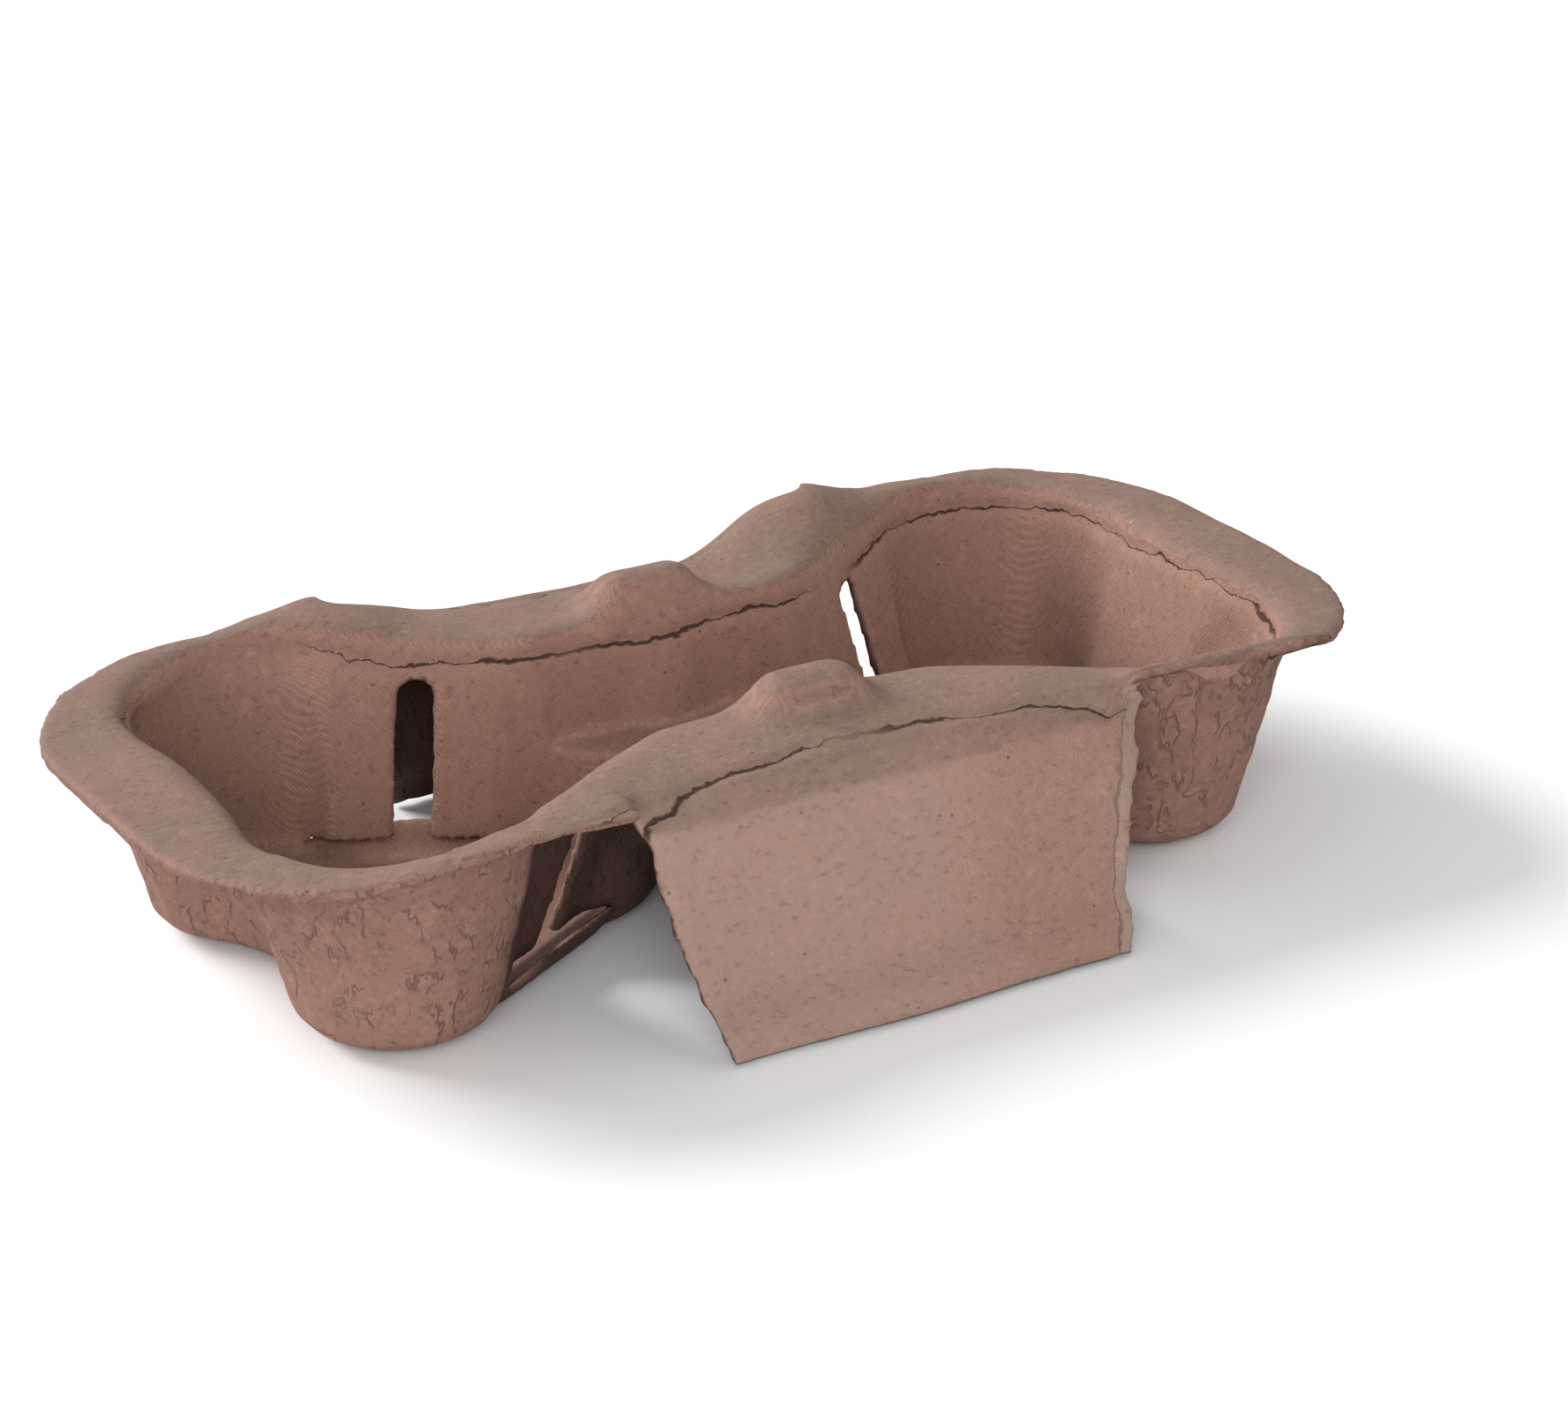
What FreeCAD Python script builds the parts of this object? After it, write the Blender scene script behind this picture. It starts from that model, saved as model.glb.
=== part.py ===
# Moulded-pulp carrier for two cups.
#
# One sheet of moulded fibre, about 2 mm thick everywhere. A crowned rim plate carries two
# three-lobed sockets joined by a trough between two hollow pillars. The middle of each long
# side bends over a sloping shoulder into a flared skirt that reaches the table. Every socket
# tapers to a flat floor on three rounded feet, and its flats towards the long sides are cut
# by inverted T slots, so that the flaps give way to the cup.
#
# X runs along the carrier, Y across it and Z up. The origin lies on the table below the middle.

import FreeCAD, Part
import os
import Sketcher

doc = FreeCAD.newDocument("cup_carrier")

DRIVING_SIZES = [
    ("wall", 2.2),
    ("carrier_length", 197.0),
    ("rim_width", 91.0),
    ("rim_corner_radius", 29.0),
    ("rim_end_height", 33.5),
    ("rim_crown_height", 35.8),
    ("crown_length", 100.0),
    ("socket_pitch", 105.0),
    ("foot_radius", 14.5),
    ("foot_offset", 24.0),
    ("foot_bevel", 2.2),
    ("mouth_radius", 23.0),
    ("mouth_offset", 23.0),
    ("flat_foot_distance", 22.0),
    ("flat_foot_half_width", 15.0),
    ("flat_mouth_distance", 33.8),
    ("flat_mouth_half_width", 15.5),
    ("slot_width", 4.6),
    ("slot_top", 28.0),
    ("foot_slot_length", 30.0),
    ("foot_slot_height", 2.4),
    ("shelf_distance", 28.0),
    ("shelf_half_width", 13.5),
    ("trough_floor_height", 17.0),
    ("trough_floor_width", 33.0),
    ("trough_mouth_width", 40.0),
    ("trough_length", 44.0),
    ("pillar_spacing", 60.0),
    ("pillar_foot_radius", 16.0),
    ("pillar_head_radius", 10.5),
    ("tab_height", 41.5),
    ("tab_base_length", 24.0),
    ("tab_base_depth", 12.0),
    ("tab_top_length", 14.0),
    ("tab_top_depth", 7.0),
    ("tab_spacing", 52.0),
    ("shoulder_start", 68.0),
    ("shoulder_bend_width", 81.0),
    ("shoulder_bend_height", 34.4),
    ("shoulder_width", 90.0),
    ("shoulder_height", 30.5),
    ("skirt_lip_width", 109.0),
    ("skirt_lip_height", 6.5),
    ("skirt_foot_width", 115.0),
    ("skirt_top_short", 37.0),
    ("skirt_top_long", 46.5),
    ("skirt_foot_short", 31.0),
    ("skirt_foot_long", 36.0),
    ("tool_reach", 60.0),
]

sheet = doc.addObject("Spreadsheet::Sheet", "dims")
for row, (alias, size) in enumerate(DRIVING_SIZES, start=1):
    sheet.set(f"A{row}", alias)
    sheet.set(f"B{row}", str(size))
    sheet.setAlias(f"B{row}", alias)
doc.recompute()


def number(expression):
    """Value of an expression over the sheet, used to start a sketch near its solution."""
    result = sheet.evalExpression(expression)
    return float(getattr(result, "Value", result))


def place(feature, x="0", y="0", z="0"):
    """Bind a feature's position to expressions over the sheet."""
    for axis, expression in (("x", x), ("y", y), ("z", z)):
        feature.setExpression(f"Placement.Base.{axis}", expression)


def turned(axis, angle):
    return FreeCAD.Placement(FreeCAD.Vector(0, 0, 0), FreeCAD.Rotation(axis, angle))


FLAT = FreeCAD.Placement()
ACROSS = turned(FreeCAD.Vector(1, 0, 0), 90)
ACROSS_TURNED = turned(FreeCAD.Vector(0, 0, 1), 180).multiply(ACROSS)
ALONG = FreeCAD.Placement(
    FreeCAD.Vector(0, 0, 0), FreeCAD.Rotation(FreeCAD.Vector(1, 1, 1), 120)
)


def circle_sketch(name, radius, x="0", y="0", z="0"):
    """Level circle whose centre and radius follow the sheet."""
    sketch = doc.addObject("Sketcher::SketchObject", name)
    place(sketch, x, y, z)
    ring = Part.Circle(FreeCAD.Vector(0, 0, 0), FreeCAD.Vector(0, 0, 1), number(radius))
    sketch.addGeometry(ring, False)
    sketch.addConstraint(Sketcher.Constraint("Coincident", 0, 3, -1, 1))
    size = sketch.addConstraint(Sketcher.Constraint("Radius", 0, number(radius)))
    sketch.setExpression(f"Constraints[{size}]", radius)
    return sketch


def polygon_sketch(name, corners, plane=FLAT, z="0"):
    """Closed outline of straight edges, each corner tied to the sheet by two expressions."""
    sketch = doc.addObject("Sketcher::SketchObject", name)
    sketch.Placement = plane
    sketch.setExpression("Placement.Base.z", z)
    points = [FreeCAD.Vector(number(u), number(v), 0) for u, v in corners]
    count = len(points)
    for index in range(count):
        edge = Part.LineSegment(points[index], points[(index + 1) % count])
        sketch.addGeometry(edge, False)
    for index in range(count):
        following = (index + 1) % count
        sketch.addConstraint(Sketcher.Constraint("Coincident", index, 2, following, 1))
    for index, (u, v) in enumerate(corners):
        for kind, expression in (("DistanceX", u), ("DistanceY", v)):
            tie = Sketcher.Constraint(kind, -1, 1, index, 1, number(expression))
            place_in_list = sketch.addConstraint(tie)
            sketch.setExpression(f"Constraints[{place_in_list}]", expression)
    return sketch


def loft(name, sections):
    feature = doc.addObject("Part::Loft", name)
    feature.Sections = sections
    feature.Solid = True
    feature.Ruled = True
    return feature


def extrusion(name, profile, length, symmetric=False):
    feature = doc.addObject("Part::Extrusion", name)
    feature.Base = profile
    feature.DirMode = "Normal"
    feature.Solid = True
    feature.Symmetric = symmetric
    feature.setExpression("LengthFwd", length)
    return feature


def fuse(name, shapes):
    feature = doc.addObject("Part::MultiFuse", name)
    feature.Shapes = shapes
    feature.Refine = False
    return feature


def common(name, base, tool):
    feature = doc.addObject("Part::Common", name)
    feature.Base = base
    feature.Tool = tool
    feature.Refine = False
    return feature


def cut(name, base, tool):
    feature = doc.addObject("Part::Cut", name)
    feature.Base = base
    feature.Tool = tool
    feature.Refine = False
    return feature


def mirrored(name, source, normal):
    feature = doc.addObject("Part::Mirroring", name)
    feature.Source = source
    feature.Normal = normal
    return feature


MIRROR_X = FreeCAD.Vector(1, 0, 0)
MIRROR_Y = FreeCAD.Vector(0, 1, 0)

FALL = "((dims.rim_crown_height - dims.rim_end_height)"
FALL += " / ((dims.carrier_length - dims.crown_length) / 2))"


def crown(name, inset):
    """Block under the rim's surface: level in the middle, falling gently to both ends."""
    top = f"dims.rim_crown_height - {inset}"
    low = f"{top} - {FALL} * (dims.carrier_length - dims.crown_length / 2)"
    corners = [
        ("-dims.carrier_length", "-dims.wall"),
        ("dims.carrier_length", "-dims.wall"),
        ("dims.carrier_length", low),
        ("dims.crown_length / 2", top),
        ("-dims.crown_length / 2", top),
        ("-dims.carrier_length", low),
    ]
    profile = polygon_sketch(f"{name}_profile", corners, ACROSS)
    return extrusion(name, profile, "4 * dims.rim_width", symmetric=True)


def rim_outline():
    """Rounded rectangle of the whole rim, extruded far above and below it."""
    sketch = doc.addObject("Sketcher::SketchObject", "rim_outline")
    half_x = number("dims.carrier_length / 2")
    half_y = number("dims.rim_width / 2")
    radius = number("dims.rim_corner_radius")
    corners = [(1, -1), (1, 1), (-1, 1), (-1, -1)]
    for index, (side_x, side_y) in enumerate(corners):
        next_x, next_y = corners[(index + 1) % 4]
        inner = FreeCAD.Vector(side_x * (half_x - radius), side_y * (half_y - radius), 0)
        inner_next = FreeCAD.Vector(next_x * (half_x - radius), next_y * (half_y - radius), 0)
        out = FreeCAD.Vector((side_x + next_x) / 2, (side_y + next_y) / 2, 0)
        start = inner + out * radius
        end = inner_next + out * radius
        sketch.addGeometry(Part.LineSegment(start, end), False)
        turn = FreeCAD.Vector(-out.y, out.x, 0)
        middle = inner_next + (out + turn).normalize() * radius
        arc = Part.Arc(end, middle, inner_next + turn * radius)
        sketch.addGeometry(arc, False)
    for index in range(8):
        sketch.addConstraint(Sketcher.Constraint("Tangent", index, 2, (index + 1) % 8, 1))
    sketch.addConstraint(Sketcher.Constraint("Vertical", 0))
    sketch.addConstraint(Sketcher.Constraint("Horizontal", 2))
    for arc in (3, 5, 7):
        sketch.addConstraint(Sketcher.Constraint("Equal", 1, arc))
    sizes = [
        (Sketcher.Constraint("Radius", 1, radius), "dims.rim_corner_radius"),
        (Sketcher.Constraint("DistanceX", -1, 1, 0, 1, half_x), "dims.carrier_length / 2"),
        (Sketcher.Constraint("DistanceY", -1, 1, 2, 1, half_y), "dims.rim_width / 2"),
        (Sketcher.Constraint("DistanceX", 4, 1, -1, 1, half_x), "dims.carrier_length / 2"),
        (Sketcher.Constraint("DistanceY", 6, 1, -1, 1, half_y), "dims.rim_width / 2"),
    ]
    for constraint, expression in sizes:
        index = sketch.addConstraint(constraint)
        sketch.setExpression(f"Constraints[{index}]", expression)
    return extrusion("rim_prism", sketch, "dims.tool_reach")


def grown(foot, mouth, height):
    """Size at a height on a straight wall that has one size on the table and one at the rim."""
    return f"({foot} + ({mouth} - {foot}) * ({height}) / dims.rim_end_height)"


def lobe(name, angle, inset, floor):
    """Tapered round lobe of the left socket, with a small bevel round its foot."""
    def section(tag, height, shrink):
        offset = grown("dims.foot_offset", "dims.mouth_offset", height)
        radius = grown("dims.foot_radius", "dims.mouth_radius", height)
        return circle_sketch(
            f"{name}_{tag}",
            f"{radius} - {inset} - {shrink}",
            f"-dims.socket_pitch / 2 + {offset} * cos({angle})",
            f"{offset} * sin({angle})",
            height,
        )

    sections = [
        section("foot", floor, "dims.foot_bevel"),
        section("bevel", f"{floor} + dims.foot_bevel", "0"),
        section("mouth", "dims.tool_reach", "0"),
    ]
    return loft(name, sections)


def flats(name, inset, floor):
    """Six-sided taper whose three wide sides are the flats between the lobes."""
    def section(tag, height):
        distance = grown("dims.flat_foot_distance", "dims.flat_mouth_distance", height)
        half = grown("dims.flat_foot_half_width", "dims.flat_mouth_half_width", height)
        corners = []
        for angle in (60, 180, 300):
            for side in (-1, 1):
                across = f"({distance} - {inset})"
                x = f"{across} * cos({angle}) - {side} * {half} * sin({angle})"
                y = f"{across} * sin({angle}) + {side} * {half} * cos({angle})"
                corners.append((f"-dims.socket_pitch / 2 + {x}", y))
        return polygon_sketch(f"{name}_{tag}", corners, FLAT, height)

    return loft(name, [section("foot", floor), section("mouth", "dims.tool_reach")])


def sockets(name, inset, floor):
    """Lobes and flats of the left socket, with their mirror images on the right."""
    parts = [flats(f"{name}_flats", inset, floor)]
    for angle in (0, 120, 240):
        parts.append(lobe(f"{name}_lobe_{angle}", angle, inset, floor))
    return parts + [mirrored(f"{part.Name}_right", part, MIRROR_X) for part in parts]


def trough(name, growth):
    """Tapered channel that joins the two sockets."""
    floor = f"dims.trough_floor_height - {growth}"
    slope = "((dims.trough_mouth_width - dims.trough_floor_width) / 2"
    slope += " / (dims.rim_crown_height - dims.trough_floor_height))"
    low = f"(dims.trough_floor_width / 2 + {growth} - {slope} * {growth})"
    rise = "(dims.tool_reach - dims.trough_floor_height)"
    high = f"(dims.trough_floor_width / 2 + {growth} + {slope} * {rise})"
    corners = [
        (f"-{low}", floor),
        (low, floor),
        (high, "dims.tool_reach"),
        (f"-{high}", "dims.tool_reach"),
    ]
    profile = polygon_sketch(f"{name}_profile", corners, ALONG)
    return extrusion(name, profile, f"dims.trough_length + 2 * {growth}", symmetric=True)


def pillar(name, side, inset):
    """Cone that bulges into the trough and carries the tab."""
    y = f"{side} * dims.pillar_spacing / 2"
    foot = "dims.trough_floor_height"
    taper = "(dims.pillar_foot_radius - dims.pillar_head_radius)"
    taper += f" / (dims.rim_crown_height - {foot})"
    low = circle_sketch(
        f"{name}_foot", f"dims.pillar_foot_radius + {taper} * {foot} - {inset}", "0", y, "0"
    )
    head = circle_sketch(
        f"{name}_head", f"dims.pillar_head_radius - {inset}", "0", y, "dims.rim_crown_height"
    )
    return loft(name, [low, head])


def narrowed_trough(name, growth, pillar_inset):
    """Trough with both pillars standing in its sides."""
    pillars = [
        pillar(f"{name}_pillar_near", -1, pillar_inset),
        pillar(f"{name}_pillar_far", 1, pillar_inset),
    ]
    return cut(f"{name}_narrowed", trough(name, growth), fuse(f"{name}_pillars", pillars))


def tab(name, side, inset):
    """Raised four-sided tab on top of a pillar."""
    def section(tag, length, depth, height):
        half_x = f"({length} / 2 - {inset})"
        half_y = f"({depth} / 2 - {inset})"
        middle = f"{side} * dims.tab_spacing / 2"
        corners = [
            (f"-{half_x}", f"{middle} - {half_y}"),
            (half_x, f"{middle} - {half_y}"),
            (half_x, f"{middle} + {half_y}"),
            (f"-{half_x}", f"{middle} + {half_y}"),
        ]
        return polygon_sketch(f"{name}_{tag}", corners, FLAT, height)

    base = section(
        "base",
        "dims.tab_base_length",
        "dims.tab_base_depth",
        "dims.rim_crown_height - dims.wall",
    )
    top = section(
        "top", "dims.tab_top_length", "dims.tab_top_depth", f"dims.tab_height - {inset}"
    )
    return loft(name, [base, top])


def hood_profile(name):
    """Cross-section of the shoulders and skirts, closed along the table."""
    side = [
        ("dims.skirt_foot_width / 2", "0"),
        ("dims.skirt_lip_width / 2", "dims.skirt_lip_height"),
        ("dims.shoulder_width / 2", "dims.shoulder_height"),
        ("dims.shoulder_bend_width / 2", "dims.shoulder_bend_height"),
        ("dims.shoulder_start / 2", "dims.rim_crown_height"),
    ]
    near = [(f"-{y}", z) for y, z in reversed(side)]
    return polygon_sketch(name, side + near, ALONG)


def hood_sheet(solid):
    """Thin bent sheet left of the hood when its ends and underside are opened."""
    doc.recompute()
    box = solid.Shape.BoundBox
    opened = []
    for index, face in enumerate(solid.Shape.Faces, start=1):
        middle = face.CenterOfMass
        is_end = min(abs(middle.x - box.XMin), abs(middle.x - box.XMax)) < 0.01
        is_underside = abs(middle.z - box.ZMin) < 0.01
        if is_end or is_underside:
            opened.append(f"Face{index}")
    feature = doc.addObject("Part::Thickness", "hood_sheet")
    feature.Faces = (solid, opened)
    feature.Join = 2
    feature.setExpression("Value", "-dims.wall")
    return feature


def skirt_window():
    """Space kept for the skirts: slanting side edges, the far skirt half a turn from the near."""
    corners = [
        ("-dims.skirt_foot_short", "0"),
        ("dims.skirt_foot_long", "0"),
        ("dims.skirt_top_long", "dims.shoulder_height"),
        ("dims.skirt_top_long", "dims.tool_reach"),
        ("-dims.skirt_top_short", "dims.tool_reach"),
        ("-dims.skirt_top_short", "dims.shoulder_height"),
    ]
    profile = polygon_sketch("window_profile", corners, ACROSS)
    near = extrusion("window_near", profile, "dims.skirt_foot_width")
    turned_profile = polygon_sketch("window_profile_turned", corners, ACROSS_TURNED)
    far = extrusion("window_far", turned_profile, "dims.skirt_foot_width")
    return fuse("skirt_window", [near, far])


def slot_box(name, angle, half_width, low, high):
    """Cutter that runs straight out through one flat of the left socket."""
    inner = "(dims.flat_foot_distance - 3 * dims.wall)"
    outer = "(dims.flat_mouth_distance + 2 * dims.wall)"
    corners = []
    for reach, side in ((inner, -1), (outer, -1), (outer, 1), (inner, 1)):
        x = f"{reach} * cos({angle}) - {side} * {half_width} * sin({angle})"
        y = f"{reach} * sin({angle}) + {side} * {half_width} * cos({angle})"
        corners.append((f"-dims.socket_pitch / 2 + {x}", y))
    profile = polygon_sketch(f"{name}_outline", corners, FLAT, low)
    return extrusion(name, profile, f"{high} - ({low})")


def t_slots():
    """Inverted T slots in the flats that face the long sides, both sockets."""
    cutters = []
    for angle in (60, 300):
        foot_top = "dims.wall + dims.foot_slot_height"
        cutters.append(
            slot_box(f"stem_{angle}", angle, "dims.slot_width / 2", "dims.wall", "dims.slot_top")
        )
        cutters.append(
            slot_box(f"bar_{angle}", angle, "dims.foot_slot_length / 2", "dims.wall", foot_top)
        )
    left = fuse("slots_left", cutters)
    return [left, mirrored("slots_right", left, MIRROR_X)]


def floor_shelves():
    """Floor that runs on below the loose flaps, both sockets."""
    shelves = []
    for angle in (60, 300):
        corners = []
        for reach, side in (("dims.wall", -1), ("dims.shelf_distance", -1),
                            ("dims.shelf_distance", 1), ("dims.wall", 1)):
            x = f"{reach} * cos({angle}) - {side} * dims.shelf_half_width * sin({angle})"
            y = f"{reach} * sin({angle}) + {side} * dims.shelf_half_width * cos({angle})"
            corners.append((f"-dims.socket_pitch / 2 + {x}", y))
        outline = polygon_sketch(f"shelf_{angle}_outline", corners, FLAT)
        shelves.append(extrusion(f"shelf_{angle}", outline, "dims.wall"))
    return shelves + [mirrored(f"{shelf.Name}_right", shelf, MIRROR_X) for shelf in shelves]


def build_carrier():
    prism = rim_outline()
    crown_top = crown("crown_top", "0")
    rim_block = common("rim_block", prism, crown_top)
    flat_rim = cut("flat_rim", rim_block, crown("crown_underside", "dims.wall"))

    window = skirt_window()
    hood = extrusion("hood", hood_profile("hood_profile"), "dims.carrier_length", symmetric=True)
    above_shoulders = cut("above_shoulders", window, hood)
    rim = cut("rim", flat_rim, above_shoulders)
    skirts = common("skirts", hood_sheet(hood), window)

    outer_pits = sockets("outer_socket", "0", "0")
    outer_pits.append(narrowed_trough("outer_trough", "dims.wall", "dims.wall"))
    outer_walls = [common(f"{pit.Name}_below_rim", pit, crown_top) for pit in outer_pits]

    tabs = [tab("tab_near", -1, "0"), tab("tab_far", 1, "0")]
    carrier = fuse("body", outer_walls + [rim, skirts] + tabs + floor_shelves())

    hollows = sockets("inner_socket", "dims.wall", "dims.wall")
    hollows.append(narrowed_trough("inner_trough", "0", "0"))
    hollows.append(tab("tab_hollow_near", -1, "dims.wall"))
    hollows.append(tab("tab_hollow_far", 1, "dims.wall"))
    for hollow in hollows + t_slots():
        carrier = cut(f"{hollow.Name}_removed", carrier, hollow)
    carrier.Label = "cup_carrier"
    return carrier


carrier = build_carrier()
doc.recompute()

for item in doc.Objects:
    if "Invalid" in item.State or "Error" in item.State:
        raise RuntimeError(f"{item.Name} failed: {item.State}")
if carrier.Shape.isNull() or not carrier.Shape.isValid():
    raise RuntimeError("cup_carrier has no valid shape")
if len(carrier.Shape.Solids) != 1:
    raise RuntimeError(f"cup_carrier has {len(carrier.Shape.Solids)} solids")

os.makedirs("parts", exist_ok=True)
carrier.Shape.exportStep(f"parts/{carrier.Label}.step")
print("solids", len(carrier.Shape.Solids), "volume", round(carrier.Shape.Volume, 1))
print("box", carrier.Shape.BoundBox)
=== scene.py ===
import math

import bpy
import numpy as np
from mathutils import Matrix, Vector


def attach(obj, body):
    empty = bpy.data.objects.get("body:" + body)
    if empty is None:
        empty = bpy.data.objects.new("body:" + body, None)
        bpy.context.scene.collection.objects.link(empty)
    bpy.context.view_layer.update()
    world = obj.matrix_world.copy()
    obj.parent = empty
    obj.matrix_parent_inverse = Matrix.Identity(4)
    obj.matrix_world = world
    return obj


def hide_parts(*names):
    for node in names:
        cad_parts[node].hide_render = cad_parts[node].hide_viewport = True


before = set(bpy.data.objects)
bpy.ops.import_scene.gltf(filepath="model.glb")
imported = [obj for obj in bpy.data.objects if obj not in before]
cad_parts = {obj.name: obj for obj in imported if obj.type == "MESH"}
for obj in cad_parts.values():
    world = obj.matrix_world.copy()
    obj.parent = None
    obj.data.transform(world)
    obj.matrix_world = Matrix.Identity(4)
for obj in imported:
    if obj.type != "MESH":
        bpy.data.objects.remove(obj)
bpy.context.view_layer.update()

# Sizes of the carrier in millimetres, as its solid has them.
SOCKET_X = 52.5
RIM_HALF_LENGTH = 98.5
RIM_HALF_WIDTH = 45.5
RIM_CORNER = 29.0
RIM_END_HEIGHT = 33.5
FLAT_AT_FOOT = 22.0
FLAT_AT_MOUTH = 33.8
SKIRT_EDGE_AT_FOOT = 36.0
SKIRT_EDGE_AT_TOP = 46.5

# How the shown sheet is meshed and rounded.
VOXEL = 0.9
RELAX_ROUNDS = 34
RELAX_STEP = 0.6


# Smooth seeded noise on a lattice, between -1 and 1

def noise(points, size, seed):
    """Value noise at points (in mm) with lumps of about the given size."""
    cells = points / size + 1000.0
    base = np.floor(cells).astype(np.int64)
    part = cells - base
    part = part * part * (3.0 - 2.0 * part)
    total = np.zeros(len(points))
    for corner in range(8):
        step = np.array([corner & 1, (corner >> 1) & 1, (corner >> 2) & 1])
        key = base + step
        mixed = key[:, 0] * 73856093 ^ key[:, 1] * 19349663 ^ key[:, 2] * 83492791
        mixed = (mixed ^ (seed * 2654435761)) & 0x7FFFFFFF
        mixed = (mixed * 1103515245 + 12345) & 0x7FFFFFFF
        value = ((mixed >> 8) & 0xFFFF) / 32767.5 - 1.0
        weight = np.prod(np.where(step == 1, part, 1.0 - part), axis=1)
        total += value * weight
    return total


def ease(low, high, value):
    """0 below low, 1 above high, smooth between; low may be above high."""
    part = np.clip((value - low) / (high - low), 0.0, 1.0)
    return part * part * (3.0 - 2.0 * part)


def bump_at(points, centre, radius):
    """Smooth hill of height 1 round a point of the plan."""
    gap = np.hypot(points[:, 0] - centre[0], points[:, 1] - centre[1])
    return ease(radius, 0.0, gap)


# The moulded sheet: the solid's own surface, remeshed finely and then worn

def fine_copy(node, name):
    """Evenly meshed copy of a CAD node with softly rounded edges."""
    copy = bpy.data.objects.new(name, node.data.copy())
    bpy.context.scene.collection.objects.link(copy)
    copy.matrix_world = node.matrix_world.copy()
    remesh = copy.modifiers.new("even", "REMESH")
    remesh.mode = "VOXEL"
    remesh.voxel_size = VOXEL / 1000
    soft = copy.modifiers.new("soft", "SMOOTH")
    soft.factor = 0.5
    soft.iterations = 3
    bpy.context.view_layer.update()
    shaped = bpy.data.meshes.new_from_object(
        copy.evaluated_get(bpy.context.evaluated_depsgraph_get())
    )
    copy.modifiers.clear()
    copy.data = shaped
    shaped.name = name
    return copy


def relax(mesh, points, weights, rounds):
    """Rounds the sheet's bends: every point drifts to the mean of its neighbours."""
    pairs = np.empty(len(mesh.edges) * 2, dtype=np.int64)
    mesh.edges.foreach_get("vertices", pairs)
    first, second = pairs.reshape(-1, 2).T
    count = len(points)
    degree = np.bincount(first, minlength=count) + np.bincount(second, minlength=count)
    for _ in range(rounds):
        total = np.empty_like(points)
        for axis in range(3):
            total[:, axis] = np.bincount(first, points[second, axis], count)
            total[:, axis] += np.bincount(second, points[first, axis], count)
        drift = total / np.maximum(degree, 1)[:, None] - points
        points = points + RELAX_STEP * weights[:, None] * drift
    return points


def read(mesh, kind):
    """The mesh's vertex places ("co") or normals, one row a vertex."""
    values = np.empty(len(mesh.vertices) * 3)
    if kind == "co":
        mesh.vertices.foreach_get("co", values)
    else:
        mesh.vertex_normals.foreach_get("vector", values)
    return values.reshape(-1, 3)


def rim_gap(points):
    """Distance from the rim's rounded outline in the plan, negative inside it."""
    over = np.abs(points[:, :2]) - (RIM_HALF_LENGTH - RIM_CORNER, RIM_HALF_WIDTH - RIM_CORNER)
    beyond = np.hypot(*np.maximum(over, 0.0).T)
    return beyond - RIM_CORNER + np.minimum(over.max(axis=1), 0.0)


def flap_place(points):
    """Where a point lies on the slotted flat nearest to it: outward and sideways, in mm."""
    out_x = np.abs(points[:, 0]) - SOCKET_X
    side = np.abs(points[:, 1])
    return -0.5 * out_x + 0.866 * side, np.abs(0.866 * out_x + 0.5 * side)


def softness(points):
    """How far each spot may round: most at the rim's bends, least at free edges and slots."""
    x, y, z = points.T
    free = ease(-8.0, -4.0, rim_gap(points)) * ease(29.0, 31.0, z)
    reach, across = flap_place(points)
    slot = ease(15.0, 20.0, reach) * ease(6.5, 4.5, across) * ease(31.5, 29.5, z)
    bends = ease(24.0, 29.0, z) * (1.0 - free) * (1.0 - slot)
    foot = ease(5.0, 1.0, z) * ease(44.0, 40.0, np.abs(y))
    corners = bump_at(points, (-47.0, 45.0), 13.0) + bump_at(points, (37.0, 45.0), 13.0)
    return np.clip(bends + 0.4 * foot + 1.5 * corners * ease(24.0, 28.0, z), 0.02, 1.0)


def curl_shelves(points, moved):
    """Turns up the outer edge of the floor that runs on below each loose flap."""
    x, y, z = points.T
    reach, across = flap_place(points)
    low = ease(3.6, 2.7, z) * ease(16.5, 14.0, across) * ease(38.0, 34.0, np.abs(y))
    moved[:, 2] += 4.6 * ease(23.0, 28.0, reach) * low


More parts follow.
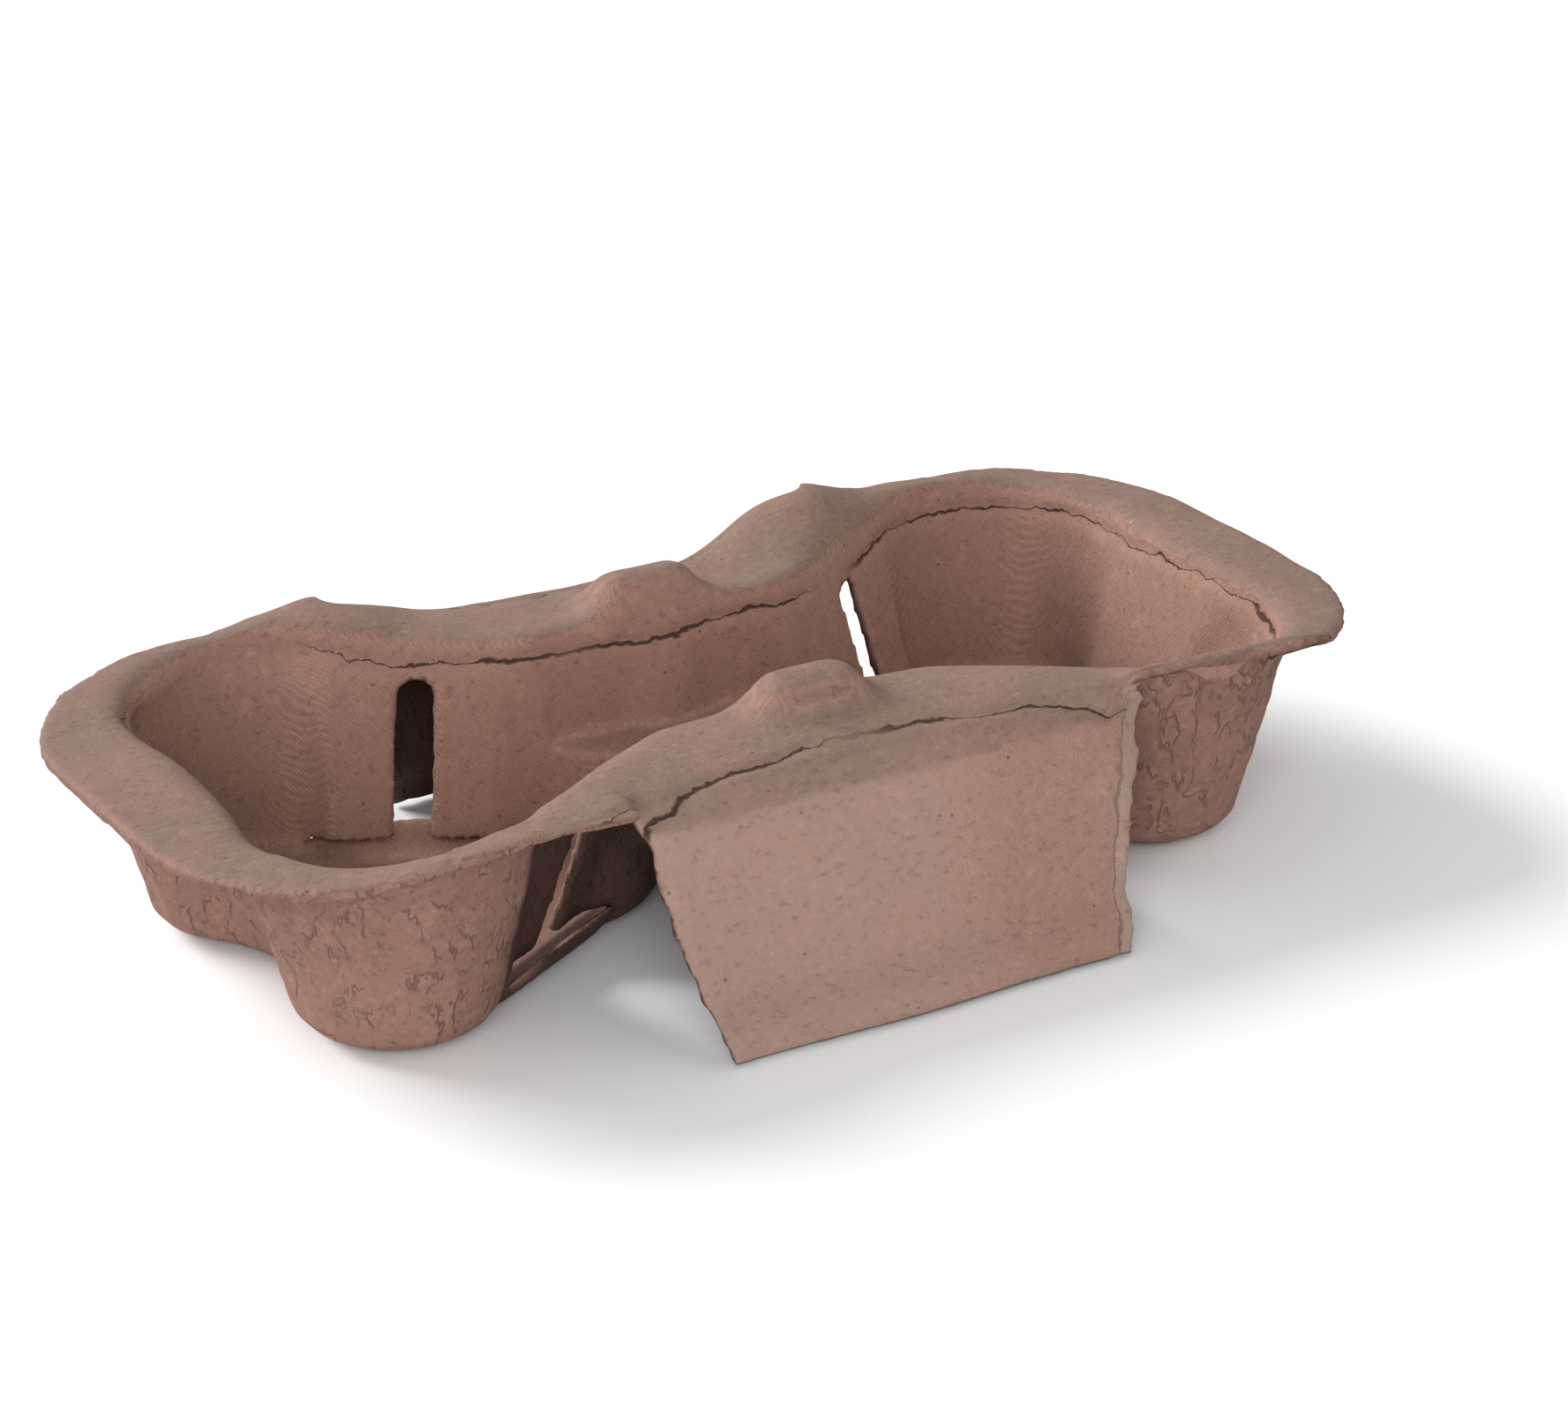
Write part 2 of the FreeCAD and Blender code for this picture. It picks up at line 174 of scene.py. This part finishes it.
def bend(points):
    """Slow bends of the sheet, as the photographed piece has them."""
    x, y, z = points.T
    moved = points.copy()
    lower = np.maximum(ease(34.0, 26.0, z), 0.3 * ease(45.0, 37.0, np.abs(y)))
    far_left = ease(0.0, 18.0, y) * ease(-20.0, -66.0, x)
    moved[:, 0] -= 6.0 * far_left * lower
    moved[:, 1] -= 2.0 * far_left * lower * ease(-60.0, -75.0, x)
    tip = ease(-80.0, -98.0, x) * ease(30.0, 0.0, np.abs(y - 2.0))
    moved[:, 0] -= 2.2 * tip
    high = ease(20.0, 34.0, z)
    far_land = ease(14.0, 30.0, y) * ease(46.0, 12.0, np.abs(x + 2.0)) * high
    moved[:, 2] -= 2.6 * far_land
    moved[:, 2] += 3.4 * bump_at(points, (-47.0, 45.0), 19.0) * high
    moved[:, 2] += 6.5 * bump_at(points, (33.0, 44.0), 20.0) * high
    moved[:, 2] += 0.9 * noise(points, 42.0, 5) * high * ease(40.0, 60.0, np.abs(x))
    skirt = ease(40.0, 54.0, np.abs(y)) * ease(34.0, 20.0, z)
    moved[:, 1] += 0.9 * skirt * noise(points, 24.0, 11)
    far_skirt = ease(41.5, 47.0, y) * ease(33.0, 0.0, z) * ease(50.0, 46.0, np.abs(x))
    moved[:, 1] -= 17.0 * far_skirt
    side_lip = ease(-40.0, -44.0, y) * ease(41.0, 46.0, x) * ease(8.0, 30.0, z)
    moved[:, 0] += 4.5 * side_lip
    moved[:, 1] += 4.0 * side_lip
    hem = ease(46.0, 50.0, np.abs(y)) * ease(8.5, 3.0, z)
    moved[:, 1] += 2.6 * np.sign(y) * hem
    curl_shelves(points, moved)
    return moved


def roughen(points, normals, screen_side):
    """Waves, lumps and frayed edges along the surface's own normals."""
    x, y, z = points.T
    push = 0.30 * noise(points, 17.0, 21) + 0.16 * noise(points, 7.0, 22)
    lumpy = 1.0 - screen_side
    push += (0.06 + 0.16 * lumpy) * noise(points, 3.2, 23)
    push += (0.02 + 0.09 * lumpy) * noise(points, 1.5, 24)
    grounded = ease(0.4, 3.0, z)
    push *= 0.25 + 0.75 * grounded
    edge = ease(-3.5, -1.0, rim_gap(points)) * ease(28.0, 30.0, z)
    flat = ease(0.75, 0.35, np.abs(normals[:, 2]))
    push += edge * flat * (0.28 * noise(points, 5.0, 25) + 0.16 * noise(points, 1.8, 26))
    return points + normals * push[:, None]


def side_of_sheet(points, normals):
    """1 on the upper, screened side of the sheet and 0 on the rough underside."""
    x, y, z = points.T
    centre = np.where(x < 0, -SOCKET_X, SOCKET_X)
    out_x = x - centre
    reach = np.hypot(out_x, y) + 1e-6
    facing = -(normals[:, 0] * out_x + normals[:, 1] * y) / reach
    in_trough = np.abs(x) < 20.0
    facing = np.where(in_trough, -np.sign(y) * normals[:, 1], facing)
    outside = np.abs(y) > np.interp(z, [0.0, 20.0, 34.0], [47.0, 43.0, 36.0])
    on_skirt = outside & (np.abs(x) < 50.0) & (z < RIM_END_HEIGHT)
    facing = np.where(on_skirt, np.sign(y) * normals[:, 1], facing)
    facing = facing + 1.4 * normals[:, 2]
    return ease(-0.15, 0.15, facing), on_skirt


def crack_lines(points, normals, screen_side, on_skirt):
    """Distance to the crease cracks, in mm, and how strong they are there."""
    x, y, z = points.T
    rim_line = z - (31.0 + 1.3 * noise(points, 14.0, 31) + 0.5 * noise(points, 4.0, 32))
    upright = ease(0.96, 0.80, np.abs(normals[:, 2]))
    rim_amount = upright * ease(25.0, 28.0, z) * (1.0 - on_skirt)
    rim_amount *= ease(-0.35, 0.15, noise(points, 16.0, 33) + 0.25)
    arch = 7.0 * np.clip((-np.sign(y) * x - 2.0) / 44.0, -1.0, 1.0) ** 2
    wander = 1.3 * noise(points, 16.0, 34) + 0.5 * noise(points, 4.5, 35)
    fold = np.abs(y) - (37.6 + arch + wander)
    fold_amount = ease(48.0, 43.0, np.abs(x)) * ease(26.0, 29.0, z)
    fold_amount *= ease(33.0, 35.5, np.abs(y))
    fold_amount *= ease(-0.25, 0.2, noise(points, 15.0, 36) + 0.1)
    use_fold = (np.abs(y) > 33.0) & (np.abs(x) < 48.0)
    distance = np.where(use_fold, fold, rim_line)
    amount = np.where(use_fold, fold_amount, rim_amount) * screen_side
    side = skirt_side(points) - 2.4
    turned = (side < 1.5) & on_skirt & (z < 31.0)
    distance = np.where(turned, side, distance)
    amount = np.where(turned, 0.4, amount)
    return distance, amount


def skirt_side(points):
    """Distance in from the skirt's longer side edge, in mm."""
    x, y, z = points.T
    edge = np.interp(z, [0.0, RIM_END_HEIGHT], [SKIRT_EDGE_AT_FOOT, SKIRT_EDGE_AT_TOP])
    return edge + np.sign(y) * x


def painted_shade_under_rim(points, screen_side):
    """Painted shade: 1 where the sheet lies in the deep shade below the rim, beside the skirts,
    for the material to darken its colour there.
    """
    x, y, z = points.T
    reach, across = flap_place(points)
    below_rim = ease(31.0, 28.0, z)
    past_flat = reach - np.interp(z, [0.0, RIM_END_HEIGHT], [FLAT_AT_FOOT, FLAT_AT_MOUTH])
    behind = ease(-1.9, -0.9, past_flat) * ease(17.0, 15.0, across) * below_rim
    behind *= ease(5.0, 3.0, past_flat) * ease(41.0, 38.0, np.abs(y))
    behind *= np.where(y < 0, 1.0, ease(5.0, 9.0, z) * ease(3.2, 2.7, across))
    middle = ease(50.0, 42.0, np.abs(x)) * (1.0 - screen_side) * below_rim
    return np.maximum(behind, middle)


def store(mesh, name, values):
    """Keeps one number a vertex for the material to read."""
    layer = mesh.attributes.new(name, "FLOAT", "POINT")
    layer.data.foreach_set("value", values.astype(np.float32))


def woven_amount(points, normals, screen_side, on_skirt):
    """How plainly the screen's weave shows at each spot."""
    x, y, z = points.T
    upright = ease(0.90, 0.70, np.abs(normals[:, 2]))
    on_wall = np.maximum(upright, ease(24.0, 16.0, z))
    on_flap = 0.8 * upright * ease(0.0, 26.0, x * -np.sign(y))
    return np.clip(np.where(on_skirt, on_flap, on_wall), 0.12, 1.0) * screen_side


def make_tray(node):
    """The shown tray: the solid's surface, rounded, worn, bent and marked for its material."""
    tray = fine_copy(node, "pulp_tray")
    mesh = tray.data
    points = read(mesh, "co") * 1000
    points = relax(mesh, points, softness(points), RELAX_ROUNDS)
    mesh.vertices.foreach_set("co", (points / 1000).ravel())
    mesh.update()
    normals = read(mesh, "normal")
    screen_side, on_skirt = side_of_sheet(points, normals)
    distance, amount = crack_lines(points, normals, screen_side, on_skirt)
    store(mesh, "screen_side", screen_side)
    store(mesh, "crack_gap", distance)
    store(mesh, "crack_amount", amount)
    store(mesh, "woven", woven_amount(points, normals, screen_side, on_skirt))
    height = points[:, 2]
    # Mask of the painted shade below the rim, beside the skirts.
    store(mesh, "painted_rim_shade", painted_shade_under_rim(points, screen_side))
    store(mesh, "frayed", ease(2.8, 1.8, skirt_side(points)) * on_skirt)
    faces = normals**4 / (normals**4).sum(axis=1)[:, None]
    store(mesh, "faces_x", faces[:, 0])
    store(mesh, "faces_y", faces[:, 1])
    store(mesh, "on_top", ease(0.45, 0.9, normals[:, 2]) * ease(26.0, 30.0, height))
    store(mesh, "depth", ease(34.0, 4.0, height) * (1.0 - on_skirt))
    dent = -0.55 * amount * np.exp(-((distance / 0.9) ** 2))
    points = points + normals * dent[:, None]
    shaped = bend(roughen(points, normals, screen_side)) / 1000
    mesh.vertices.foreach_set("co", shaped.ravel())
    mesh.update()
    mesh.polygons.foreach_set("use_smooth", [True] * len(mesh.polygons))
    return tray


# Materials

class Graph:
    """Short way to write a node tree."""

    def __init__(self, name):
        self.material = bpy.data.materials.new(name)
        self.material.use_nodes = True
        self.tree = self.material.node_tree
        self.tree.nodes.clear()

    def node(self, kind, inputs=None, **settings):
        made = self.tree.nodes.new(kind)
        for key, value in settings.items():
            setattr(made, key, value)
        for key, value in (inputs or {}).items():
            self.feed(made.inputs[key], value)
        return made

    def feed(self, socket, value):
        if isinstance(value, bpy.types.NodeSocket):
            self.tree.links.new(value, socket)
        else:
            socket.default_value = value

    def math(self, operation, *values):
        made = self.node("ShaderNodeMath", operation=operation)
        for socket, value in zip(made.inputs, values):
            self.feed(socket, value)
        return made.outputs[0]

    def grain(self, place, scale, detail=2.0, rough=0.5):
        inputs = {"Vector": place, "Scale": scale, "Detail": detail, "Roughness": rough}
        return self.node("ShaderNodeTexNoise", inputs).outputs["Fac"]

    def ramp(self, value, low, high):
        inputs = {"Value": value, "From Min": low, "From Max": high}
        made = self.node("ShaderNodeMapRange", inputs, interpolation_type="SMOOTHSTEP")
        return made.outputs["Result"]

    def mix(self, amount, first, second):
        made = self.node("ShaderNodeMix", data_type="RGBA", blend_type="MIX")
        self.feed(made.inputs[0], amount)
        self.feed(made.inputs[6], first)
        self.feed(made.inputs[7], second)
        return made.outputs[2]

    def tint(self, colour, mask, share, other):
        """Draws a colour towards another where the mask is set, by the given share at most."""
        return self.mix(self.math("MULTIPLY", mask, share), colour, other)

    def vector_math(self, operation, first, second):
        made = self.node("ShaderNodeVectorMath", {0: first, 1: second}, operation=operation)
        return made.outputs[0]

    def attribute(self, name):
        return self.node("ShaderNodeAttribute", attribute_name=name).outputs["Fac"]

    def principled(self, inputs):
        surface = self.node("ShaderNodeBsdfPrincipled", inputs)
        self.node("ShaderNodeOutputMaterial", {"Surface": surface.outputs[0]})
        return self.material


# Colours, linear, and the screen's threads in radians a metre
THREADS = 2 * math.pi / 0.00051
FLANGE = (0.300, 0.203, 0.163, 1)
WALL = (0.375, 0.212, 0.163, 1)
RIM_TOP = (0.185, 0.122, 0.096, 1)
UNDERSIDE = (0.180, 0.098, 0.075, 1)
# Dark of the cracks, torn lines and specks; also the colour of the painted shade below the rim
# and in the weave's dimples.
CRACK_AND_SHADE = (0.030, 0.013, 0.009, 1)
PALE = (0.46, 0.38, 0.33, 1)
ORANGE = (0.34, 0.13, 0.045, 1)


def crack_mask(graph, place):
    """Thin torn line along the marked creases, wandering and changing in width."""
    wander = graph.math("SUBTRACT", graph.grain(place, 330.0, 4.0, 0.55), 0.5)
    wander = graph.math("MULTIPLY", wander, 2.6)
    gap = graph.math("ABSOLUTE", graph.math("ADD", graph.attribute("crack_gap"), wander))
    broad = graph.ramp(graph.grain(place, 90.0, 1.0, 0.5), 0.40, 0.62)
    width = graph.math("ADD", graph.math("MULTIPLY", broad, 0.42), 0.10)
    line = graph.ramp(graph.math("DIVIDE", gap, width), 1.0, 0.2)
    return graph.math("MULTIPLY", line, graph.attribute("crack_amount"))


def add_specks(graph, place, colour):
    """Scattered pale, dark and orange bits of waste paper in the pulp."""
    inputs = {"Vector": place, "Scale": 420.0, "Randomness": 1.0}
    speck = graph.node("ShaderNodeTexVoronoi", inputs)
    core = graph.ramp(speck.outputs["Distance"], 0.16, 0.06)
    pick = graph.node("ShaderNodeSeparateColor", {"Color": speck.outputs["Color"]})
    kinds = (
        (0.985, 0.992, 0.8, PALE),
        (0.90, 0.93, 0.55, CRACK_AND_SHADE),
        (0.975, 0.985, 0.7, ORANGE),
    )
    for index, (low, high, share, tone) in enumerate(kinds):
        spot = graph.math("MULTIPLY", core, graph.ramp(pick.outputs[index], low, high))
        colour = graph.tint(colour, spot, share, tone)
    return colour


def torn_mask(graph, place, patches, underside):
    """Short torn lines in the rough fibre of the underside."""
    mapping = {"Vector": place, "Scale": (1, 1, 0.5)}
    stretched = graph.node("ShaderNodeMapping", mapping).outputs[0]
    level = graph.math("SUBTRACT", graph.grain(stretched, 210.0, 3.0, 0.62), 0.5)
    torn = graph.ramp(graph.math("ABSOLUTE", level), 0.030, 0.004)
    torn = graph.math("MULTIPLY", torn, underside)
    return graph.math("MULTIPLY", torn, graph.ramp(patches, 0.40, 0.62))


def weave_bumps(graph, place, patches, woven):
    """Print of the forming screen: two sets of threads, taken across the way a spot faces."""
    inputs = {"Vector": place, "Scale": 240.0, "Detail": 2.0}
    stray = graph.node("ShaderNodeTexNoise", inputs).outputs["Color"]
    stray = graph.vector_math("MULTIPLY", stray, (0.0007,) * 3)
    threads = graph.vector_math("ADD", place, stray)
    axes = graph.node("ShaderNodeSeparateXYZ", {"Vector": threads}).outputs
    waves = [graph.math("SINE", graph.math("MULTIPLY", axis, THREADS)) for axis in axes]
    faces_x = graph.attribute("faces_x")
    faces_y = graph.attribute("faces_y")
    faces_z = graph.math("SUBTRACT", 1.0, graph.math("ADD", faces_x, faces_y))
    bumps = 0.0
    for facing, one, other in ((faces_y, 0, 2), (faces_x, 1, 2), (faces_z, 0, 1)):
        crossed = graph.math("MULTIPLY", waves[one], waves[other])
        bumps = graph.math("ADD", graph.math("MULTIPLY", crossed, facing), bumps)
    worn = graph.ramp(patches, 0.10, 0.45)
    return graph.math("MULTIPLY", graph.math("MULTIPLY", bumps, woven), worn)


def pulp_material():
    graph = Graph("moulded_pulp")
    place = graph.node("ShaderNodeTexCoord").outputs["Object"]
    screen_side = graph.attribute("screen_side")
    underside = graph.math("SUBTRACT", 1.0, screen_side)
    woven = graph.attribute("woven")

    clouds = graph.grain(place, 60.0, 3.0, 0.55)
    patches = graph.grain(place, 260.0, 3.0, 0.6)
    mapping = {"Vector": place, "Rotation": (0.5, 0.7, 0.3), "Scale": (1, 1.9, 1.4)}
    fibre_place = graph.node("ShaderNodeMapping", mapping).outputs[0]
    fibres = graph.grain(fibre_place, 620.0, 4.0, 0.65)
    fine = graph.grain(place, 1900.0, 2.0, 0.6)
    line = crack_mask(graph, place)
    torn = torn_mask(graph, place, patches, underside)
    bumps = weave_bumps(graph, place, patches, woven)

    colour = graph.tint(FLANGE, woven, 0.85, WALL)
    colour = graph.mix(underside, colour, UNDERSIDE)
    colour = graph.tint(colour, graph.attribute("depth"), 0.25, WALL)
    colour = graph.tint(colour, graph.attribute("on_top"), 0.75, RIM_TOP)
    colour = graph.tint(colour, graph.attribute("frayed"), 0.32, PALE)
    colour = graph.mix(graph.ramp(clouds, 0.35, 0.75), colour, graph.mix(0.20, colour, WALL))
    colour = graph.tint(colour, graph.ramp(patches, 0.45, 0.75), 0.22, WALL)
    colour = graph.tint(colour, graph.ramp(fibres, 0.52, 0.75), 0.18, PALE)
    colour = graph.tint(colour, graph.ramp(fibres, 0.46, 0.28), 0.30, CRACK_AND_SHADE)
    colour = add_specks(graph, place, colour)
    colour = graph.tint(colour, line, 0.85, CRACK_AND_SHADE)
    colour = graph.tint(colour, torn, 0.42, CRACK_AND_SHADE)
    # Painted shade: the sheet below the rim, beside the skirts, is drawn nearly as dark as the
    # cracks.
    colour = graph.tint(colour, graph.attribute("painted_rim_shade"), 0.80, CRACK_AND_SHADE)
    # Painted shade: the weave's dimples, where the bumps sink, are drawn darker in colour.
    painted_dimple_shade = graph.ramp(graph.math("MULTIPLY", bumps, -0.22), 0.0, 0.22)
    colour = graph.mix(painted_dimple_shade, colour, graph.mix(0.30, colour, CRACK_AND_SHADE))

    lumps = graph.math("MULTIPLY", patches, graph.math("SUBTRACT", 1.15, screen_side))
    height = graph.math("MULTIPLY", bumps, 0.11)
    for part, share in ((fine, 0.10), (fibres, 0.16), (lumps, 0.5), (line, -0.55), (torn, -0.25)):
        height = graph.math("ADD", height, graph.math("MULTIPLY", part, share))
    relief = graph.node("ShaderNodeBump", {"Height": height, "Distance": 0.001, "Strength": 0.9})
    return graph.principled(
        {
            "Base Color": colour,
            "Roughness": 0.93,
            "Specular IOR Level": 0.18,
            "Normal": relief.outputs[0],
        }
    )


def floor_material():
    white = (0.93, 0.93, 0.94, 1)
    graph = Graph("pale_floor")
    return graph.principled({"Base Color": white, "Roughness": 0.9, "Specular IOR Level": 0.1})


# Floor, light and camera

FLOOR_REACH = 6.0
FLOOR_DROP = 0.0006
WORLD_STRENGTH = 0.54


def make_floor():
    mesh = bpy.data.meshes.new("floor")
    near, far = -FLOOR_REACH, FLOOR_REACH
    corners = [(near, near, 0), (far, near, 0), (far, far, 0), (near, far, 0)]
    mesh.from_pydata(corners, [], [(0, 1, 2, 3)])
    floor = bpy.data.objects.new("floor", mesh)
    bpy.context.scene.collection.objects.link(floor)
    mesh.materials.append(floor_material())
    floor.location.z = -FLOOR_DROP
    return floor


def aimed_light(name, kind, place, aim):
    """A light at place, turned to aim; returns its settings."""
    light = bpy.data.lights.new(name, kind)
    made = bpy.data.objects.new(name, light)
    made.location = place
    made.rotation_euler = (Vector(aim) - Vector(place)).to_track_quat("-Z", "Y").to_euler()
    bpy.context.scene.collection.objects.link(made)
    return light


def add_lights():
    """A wide soft sun from behind on the left, a large fill in front, an even white world."""
    key = aimed_light("key", "SUN", (-0.62, 0.95, 0.66), (0.0, 0.0, 0.0))
    key.energy = 3.8
    key.angle = 0.6
    fill = aimed_light("fill", "AREA", (-0.60, -1.02, 0.50), (0.0, 0.0, 0.02))
    fill.energy = 10.0
    fill.size = 0.9
    world = bpy.data.worlds.new("studio")
    world.use_nodes = True
    background = world.node_tree.nodes["Background"]
    background.inputs["Color"].default_value = (1, 1, 1, 1)
    background.inputs["Strength"].default_value = WORLD_STRENGTH
    bpy.context.scene.world = world


def add_camera():
    """The photograph's viewing angle and framing."""
    data = bpy.data.cameras.new("camera")
    data.sensor_width = 36.0
    data.lens = 81.03
    data.shift_x = -0.0147
    data.shift_y = 0.0595
    data.clip_start = 0.01
    data.clip_end = 50.0
    camera = bpy.data.objects.new("camera", data)
    camera.location = (-0.23624, -0.43185, 0.2474)
    camera.rotation_euler = (math.pi / 2 - 0.453, 0.0, -0.527)
    bpy.context.scene.collection.objects.link(camera)
    bpy.context.scene.camera = camera


bpy.context.scene.view_settings.view_transform = "Standard"

tray = make_tray(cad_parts["cup_carrier"])
tray.data.materials.clear()
tray.data.materials.append(pulp_material())
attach(tray, "root")
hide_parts("cup_carrier")

floor = make_floor()
add_lights()
add_camera()
